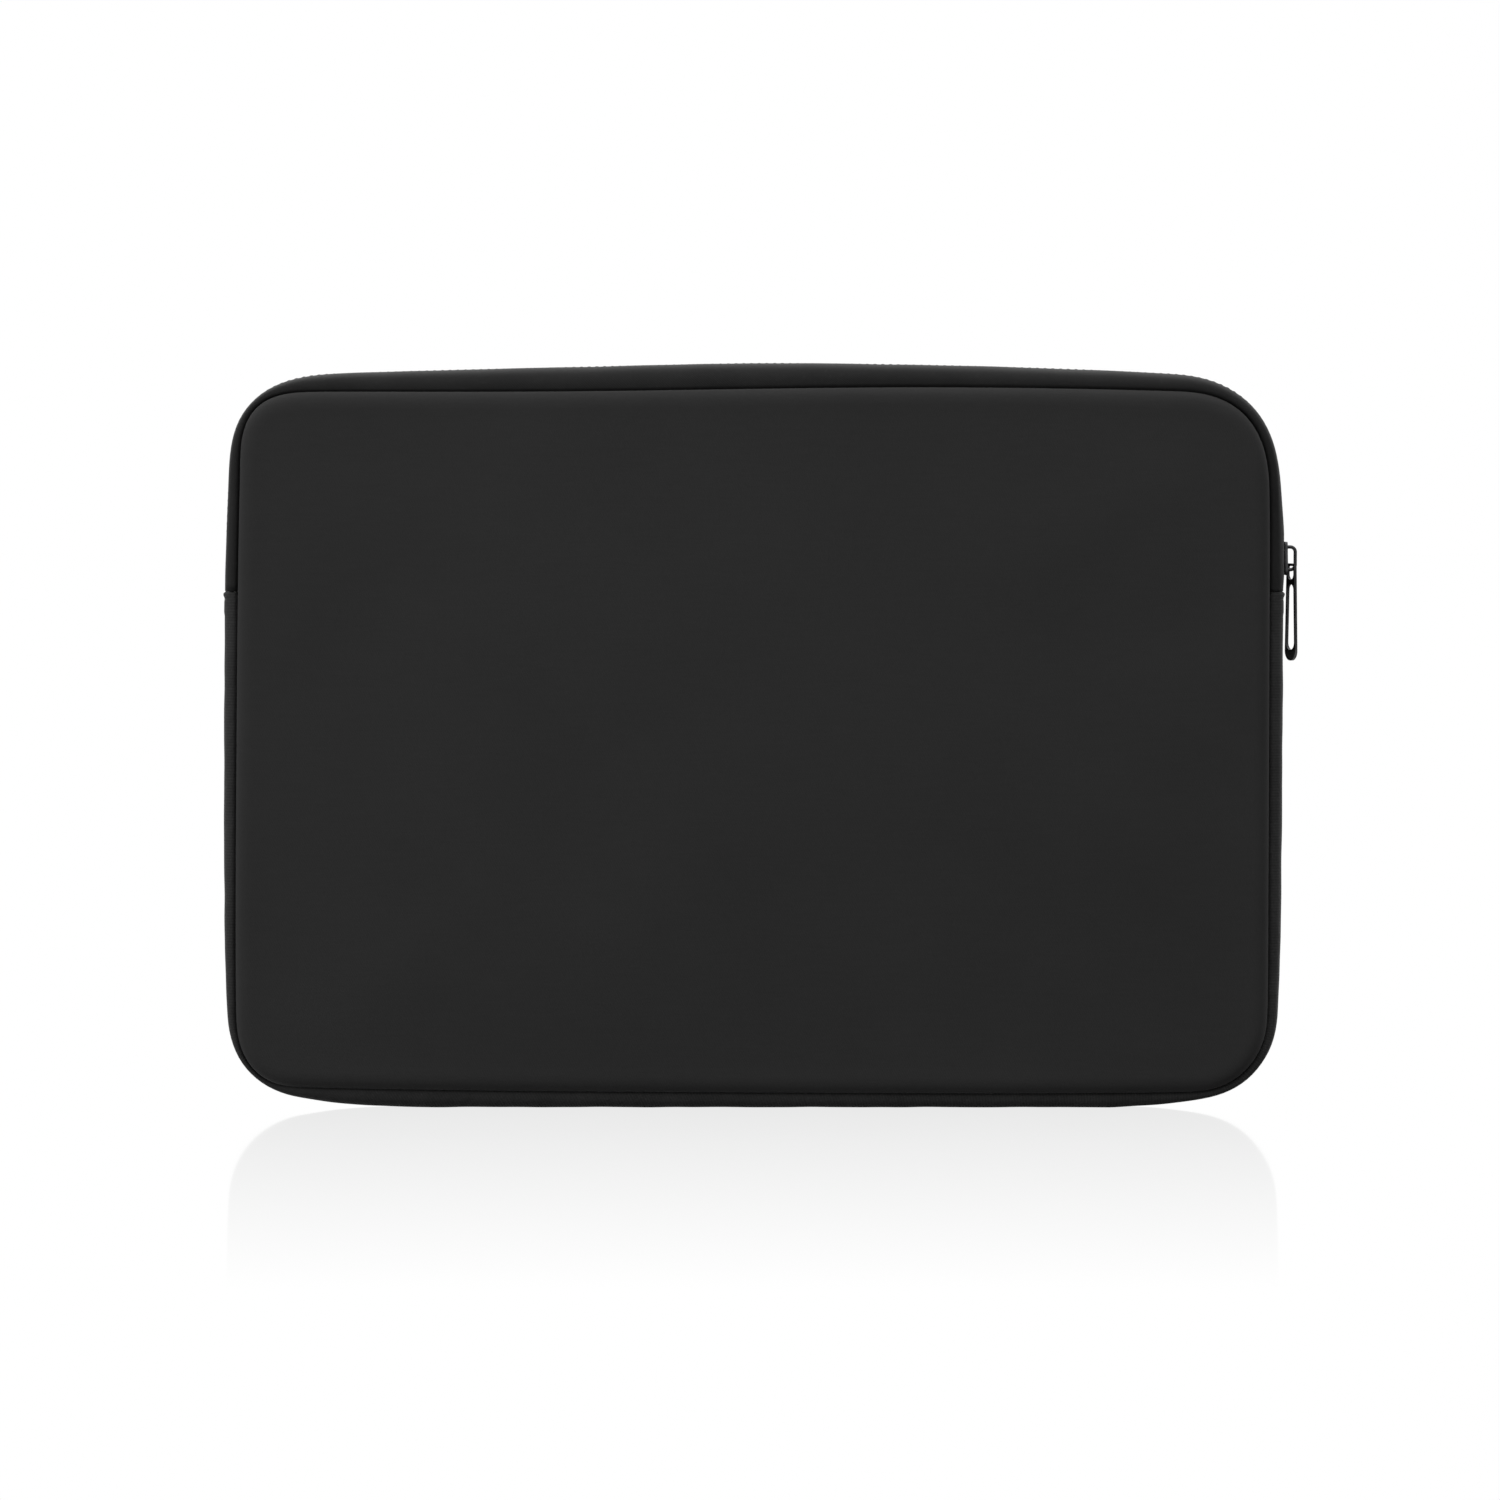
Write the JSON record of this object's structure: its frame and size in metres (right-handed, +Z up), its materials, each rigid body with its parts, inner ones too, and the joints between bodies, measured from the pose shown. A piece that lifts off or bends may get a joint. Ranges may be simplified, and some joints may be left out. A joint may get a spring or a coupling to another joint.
{
  "type": "laptop sleeve",
  "caption": "Slim padded laptop sleeve that stands on its bottom edge, closed by a reversed coil zip round its upper half, with a metal slider and a long open puller.",
  "frame": {"origin": "middle of the bottom gusset's flat, on the surface that the sleeve stands on", "axes": "+X across the sleeve to the side with the slider, +Y from the front cover to the back cover, +Z up to the zip"},
  "size_m": [0.3902, 0.03, 0.271],
  "materials": {
    "cover_cloth": "matt woven polyester, softly creased",
    "gusset_cloth": "finely ribbed woven polyester",
    "zip_tape": "close woven zip tape",
    "zip_coil": "polyester monofilament",
    "binding_tape": "ribbed binding tape",
    "foam": "closed-cell foam",
    "lining_cloth": "brushed lining",
    "gunmetal": "dark plated zinc, polished at the edges"
  },
  "bodies": {
    "root": {"back_panel": "cover_cloth", "back_padding": "foam", "back_lining": "lining_cloth", "rear_seam_binding": "binding_tape", "front_panel": "cover_cloth", "front_padding": "foam", "front_lining": "lining_cloth", "front_seam_binding": "binding_tape", "gusset_strip": "gusset_cloth", "gusset_padding": "foam", "gusset_lining": "lining_cloth", "rear_zip_tape": "zip_tape", "rear_zip_coil": "zip_coil"},
    "flap": {"flap_panel": "cover_cloth", "flap_padding": "foam", "flap_lining": "lining_cloth", "flap_seam_binding": "binding_tape", "front_zip_tape": "zip_tape", "front_zip_coil": "zip_coil"},
    "slider": {"slider_body": "gunmetal"},
    "puller": {"puller": "gunmetal"}
  },
  "joints": [
    {"name": "mouth_open", "type": "hinge", "parent": "root", "child": "flap", "pos_m": [0, -0.015, 0.18815], "axis": [1, 0, 0], "range_deg": [0, 35], "deforming": ["front_zip_tape", "front_zip_coil"]},
    {"name": "slider_slide", "type": "slide", "parent": "root", "child": "slider", "axis": [0, 0, 1], "range_m": [0, 0.026], "deforming": ["rear_zip_tape", "rear_zip_coil"]},
    {"name": "puller_swing", "type": "hinge", "parent": "slider", "child": "puller", "pos_m": [0.19538, 0, 0.19767], "axis": [0.4384, -0.8988, 0], "range_deg": [0, 140]}
  ]
}
